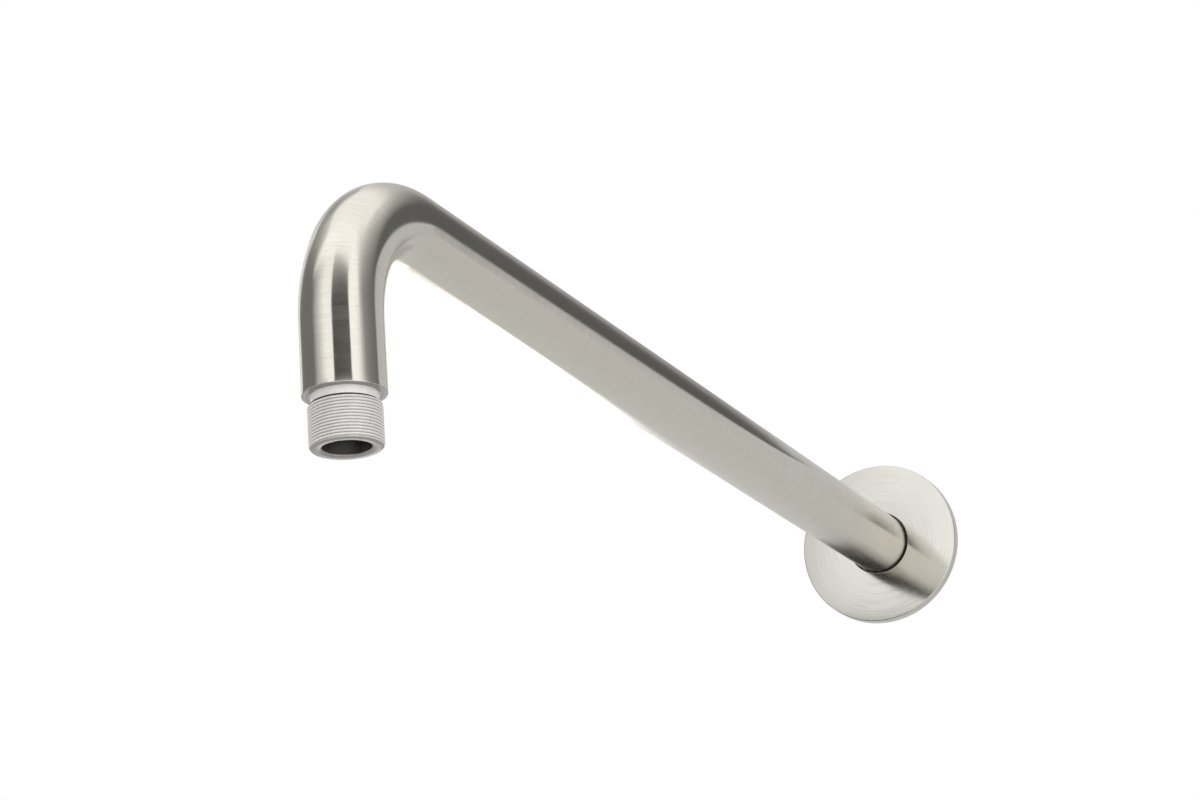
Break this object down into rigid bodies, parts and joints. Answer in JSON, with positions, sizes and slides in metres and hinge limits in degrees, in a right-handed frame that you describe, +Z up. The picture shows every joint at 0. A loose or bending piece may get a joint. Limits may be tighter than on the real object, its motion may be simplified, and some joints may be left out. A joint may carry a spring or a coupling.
{
  "type": "shower arm",
  "caption": "Wall-mounted round shower arm: long straight tube with a square bend into a short threaded drop, a threaded wall end and a sliding round cover flange.",
  "frame": {"origin": "on the arm's axis in the wall plane, at the shoulder of the inlet thread", "axes": "+X out of the wall along the arm, +Z up, so that the drop points along -Z"},
  "size_m": [0.478, 0.065, 0.1108],
  "materials": {
    "brushed_nickel": "satin nickel, brushed round the tube",
    "circular_brushed_nickel": "satin nickel, brushed in circles",
    "plain_nickel": "turned, bright, unbrushed",
    "black_rubber": "smooth moulded rubber"
  },
  "bodies": {
    "arm": {"arm_tube": "brushed_nickel", "inlet_nipple": "plain_nickel", "outlet_nipple": "plain_nickel"},
    "ring": {"rubber_ring": "black_rubber"},
    "flange": {"wall_flange": "circular_brushed_nickel"}
  },
  "joints": [
    {"name": "flange_slide", "type": "slide", "parent": "arm", "child": "ring", "axis": [1, 0, 0], "range_m": [0, 0.4]},
    {"name": "flange_turn", "type": "hinge", "parent": "ring", "child": "flange", "pos_m": [0, 0, 0], "axis": [1, 0, 0], "continuous": true}
  ]
}
